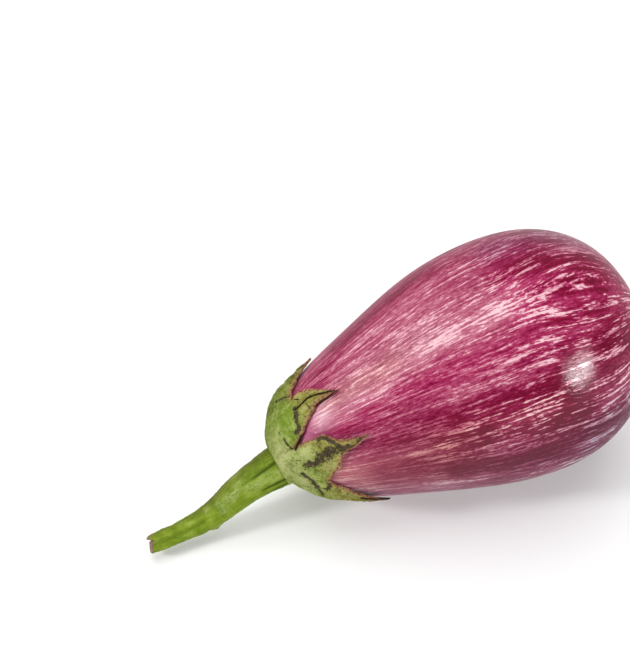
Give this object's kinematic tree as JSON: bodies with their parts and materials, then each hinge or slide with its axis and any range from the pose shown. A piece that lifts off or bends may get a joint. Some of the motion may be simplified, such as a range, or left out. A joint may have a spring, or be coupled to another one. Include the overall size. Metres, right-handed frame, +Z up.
{
  "type": "eggplant",
  "caption": "Striped purple eggplant lying on its side, with its green calyx and a cut length of drooping stem.",
  "frame": {"origin": "middle of the small flat spot that the fruit rests on", "axes": "+X from the stem end towards the blossom end, level; +Z up; +Y towards the fruit's far side"},
  "size_m": [0.1785, 0.0838, 0.0836],
  "materials": {
    "skin": "smooth, waxy crimson-purple skin with broken pink-white streaks running from stem to blossom end",
    "calyx_green": "matte yellow-green sepals with corky brown scars and a reddish dry rim",
    "stem_green": "fleshy ridged green stem, slightly glossy, with pale warts and a dry brown cut end"
  },
  "bodies": {
    "root": {"fruit": "skin", "calyx": "calyx_green", "stem": "stem_green"}
  },
  "joints": []
}
